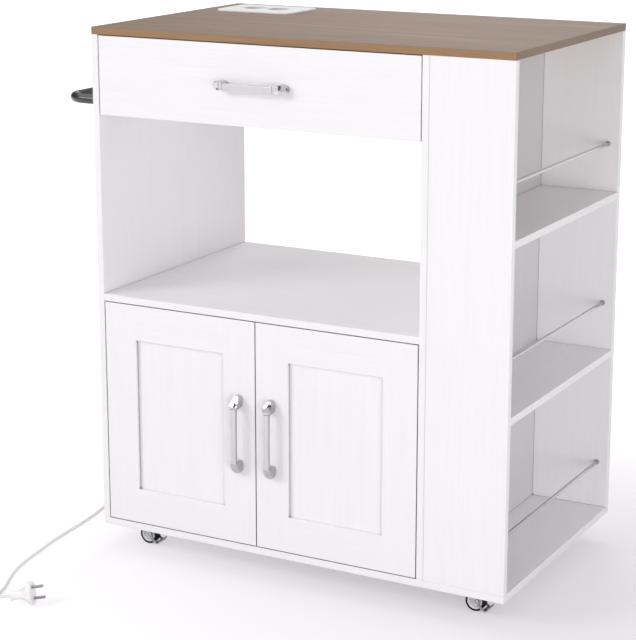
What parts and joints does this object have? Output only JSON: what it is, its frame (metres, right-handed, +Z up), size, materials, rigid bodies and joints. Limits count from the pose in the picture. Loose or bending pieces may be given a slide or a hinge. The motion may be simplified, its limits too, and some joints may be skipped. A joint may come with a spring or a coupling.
{
  "type": "kitchen cart",
  "caption": "White kitchen cart on casters with a wooden top, a drawer, an open microwave bay, a two-door cabinet, a side rack with rods, a towel bar and mains sockets with a cord.",
  "frame": {"origin": "on the floor, below the middle of the cart's outline without its cord", "axes": "+Z up, +X to the right seen from the front, +Y to the back"},
  "size_m": [0.8679, 0.7821, 0.897],
  "materials": {
    "white_board": "white coated board, satin, fine embossed grain",
    "wood_top": "light walnut laminate, satin",
    "hardboard": "thin white lacquered fibreboard",
    "chrome_rod": "polished",
    "satin_handle": "satin nickel",
    "black_metal": "satin black",
    "steel": "zinc plated",
    "white_plastic": "semi-gloss moulded",
    "socket_plastic": "satin moulded",
    "cord_sheath": "smooth flexible sheath",
    "plug_pin": "nickel plated",
    "tyre_black": "matt",
    "magnet_housing": "satin moulded"
  },
  "bodies": {
    "carcass": {"left_panel": "white_board", "divider_panel": "white_board", "bottom_panel": "white_board", "microwave_shelf": "white_board", "rear_rail": "white_board", "cabinet_back_panel": "hardboard", "rack_front_panel": "white_board", "rack_rear_panel": "white_board", "rack_shelf_lower": "white_board", "rack_shelf_upper": "white_board", "worktop": "wood_top", "rack_rods": "chrome_rod", "adjustable_shelf": "white_board", "shelf_pins": "steel", "towel_bar": "black_metal", "socket_plate": "white_plastic", "socket_housing": "white_plastic", "socket_wells": "socket_plastic", "cabinet_runners": "steel", "magnetic_catch": "magnet_housing", "hinge_arms": "steel", "strain_relief": "white_plastic", "power_cord": "cord_sheath", "plug_body": "white_plastic", "plug_pins": "plug_pin", "caster_plates": "steel", "carcass_screws": "steel"},
    "drawer": {"drawer_front": "white_board", "drawer_sides": "white_board", "drawer_bottom": "hardboard", "drawer_handle": "satin_handle", "drawer_runners": "steel"},
    "left_door": {"left_door_frame": "white_board", "left_door_panel": "white_board", "left_door_hinge_cups": "steel", "left_door_handle": "satin_handle", "left_door_strike": "steel"},
    "right_door": {"right_door_frame": "white_board", "right_door_panel": "white_board", "right_door_hinge_cups": "steel", "right_door_handle": "satin_handle", "right_door_strike": "steel"},
    "front_left_roller": {"front_roller_left": "white_plastic"},
    "front_right_roller": {"front_roller_right": "white_plastic"},
    "rear_left_roller": {"rear_roller_left": "white_plastic"},
    "rear_right_roller": {"rear_roller_right": "white_plastic"},
    "front_left_fork": {"caster_fork_front_left": "steel"},
    "front_left_wheel": {"wheel_hub_front_left": "white_plastic", "wheel_tyre_front_left": "tyre_black"},
    "front_left_pedal": {"brake_pedal_front_left": "steel"},
    "front_right_fork": {"caster_fork_front_right": "steel"},
    "front_right_wheel": {"wheel_hub_front_right": "white_plastic", "wheel_tyre_front_right": "tyre_black"},
    "front_right_pedal": {"brake_pedal_front_right": "steel"},
    "rear_left_fork": {"caster_fork_rear_left": "steel"},
    "rear_left_wheel": {"wheel_hub_rear_left": "white_plastic", "wheel_tyre_rear_left": "tyre_black"},
    "rear_right_fork": {"caster_fork_rear_right": "steel"},
    "rear_right_wheel": {"wheel_hub_rear_right": "white_plastic", "wheel_tyre_rear_right": "tyre_black"}
  },
  "joints": [
    {"name": "drawer_slide", "type": "slide", "parent": "carcass", "child": "drawer", "axis": [0, -1, 0], "range_m": [0, 0.22]},
    {"name": "left_door_hinge", "type": "hinge", "parent": "carcass", "child": "left_door", "pos_m": [-0.2975, -0.215, 0.246], "axis": [0, 0, -1], "range_deg": [0, 95]},
    {"name": "right_door_hinge", "type": "hinge", "parent": "carcass", "child": "right_door", "pos_m": [0.2415, -0.215, 0.246], "axis": [0, 0, 1], "range_deg": [0, 95]},
    {"name": "front_left_roller_spin", "type": "hinge", "parent": "carcass", "child": "front_left_roller", "pos_m": [-0.31005, -0.19, 0.782], "axis": [1, 0, 0], "range_deg": [0, 1202]},
    {"name": "front_right_roller_spin", "type": "hinge", "parent": "carcass", "child": "front_right_roller", "pos_m": [0.25405, -0.19, 0.782], "axis": [1, 0, 0], "range_deg": [0, 1202]},
    {"name": "rear_left_roller_spin", "type": "hinge", "parent": "drawer", "child": "rear_left_roller", "pos_m": [-0.31545, 0.081, 0.782], "axis": [1, 0, 0], "range_deg": [0, 1202]},
    {"name": "rear_right_roller_spin", "type": "hinge", "parent": "drawer", "child": "rear_right_roller", "pos_m": [0.25945, 0.081, 0.782], "axis": [1, 0, 0], "range_deg": [0, 1202]},
    {"name": "front_left_swivel", "type": "hinge", "parent": "carcass", "child": "front_left_fork", "pos_m": [-0.263, -0.17, 0.042], "axis": [0, 0, 1], "continuous": true},
    {"name": "front_left_wheel_spin", "type": "hinge", "parent": "front_left_fork", "child": "front_left_wheel", "pos_m": [-0.271, -0.17, 0.0165], "axis": [0, 1, 0], "continuous": true},
    {"name": "front_left_brake", "type": "hinge", "parent": "front_left_fork", "child": "front_left_pedal", "pos_m": [-0.2645, -0.17, 0.02], "axis": [0, 1, 0], "range_deg": [0, 12]},
    {"name": "front_right_swivel", "type": "hinge", "parent": "carcass", "child": "front_right_fork", "pos_m": [0.353, -0.17, 0.042], "axis": [0, 0, 1], "continuous": true},
    {"name": "front_right_wheel_spin", "type": "hinge", "parent": "front_right_fork", "child": "front_right_wheel", "pos_m": [0.345, -0.17, 0.0165], "axis": [0, 1, 0], "continuous": true},
    {"name": "front_right_brake", "type": "hinge", "parent": "front_right_fork", "child": "front_right_pedal", "pos_m": [0.3515, -0.17, 0.02], "axis": [0, 1, 0], "range_deg": [0, 12]},
    {"name": "rear_left_swivel", "type": "hinge", "parent": "carcass", "child": "rear_left_fork", "pos_m": [-0.263, 0.19, 0.042], "axis": [0, 0, 1], "continuous": true},
    {"name": "rear_left_wheel_spin", "type": "hinge", "parent": "rear_left_fork", "child": "rear_left_wheel", "pos_m": [-0.271, 0.19, 0.0165], "axis": [0, 1, 0], "continuous": true},
    {"name": "rear_right_swivel", "type": "hinge", "parent": "carcass", "child": "rear_right_fork", "pos_m": [0.353, 0.19, 0.042], "axis": [0, 0, 1], "continuous": true},
    {"name": "rear_right_wheel_spin", "type": "hinge", "parent": "rear_right_fork", "child": "rear_right_wheel", "pos_m": [0.345, 0.19, 0.0165], "axis": [0, 1, 0], "continuous": true}
  ],
  "couplings": [
    {"joint": "front_left_roller_spin", "follows": "drawer_slide", "rad_per_m": 95.238},
    {"joint": "front_right_roller_spin", "follows": "drawer_slide", "rad_per_m": 95.238},
    {"joint": "rear_left_roller_spin", "follows": "drawer_slide", "rad_per_m": 95.238},
    {"joint": "rear_right_roller_spin", "follows": "drawer_slide", "rad_per_m": 95.238}
  ]
}
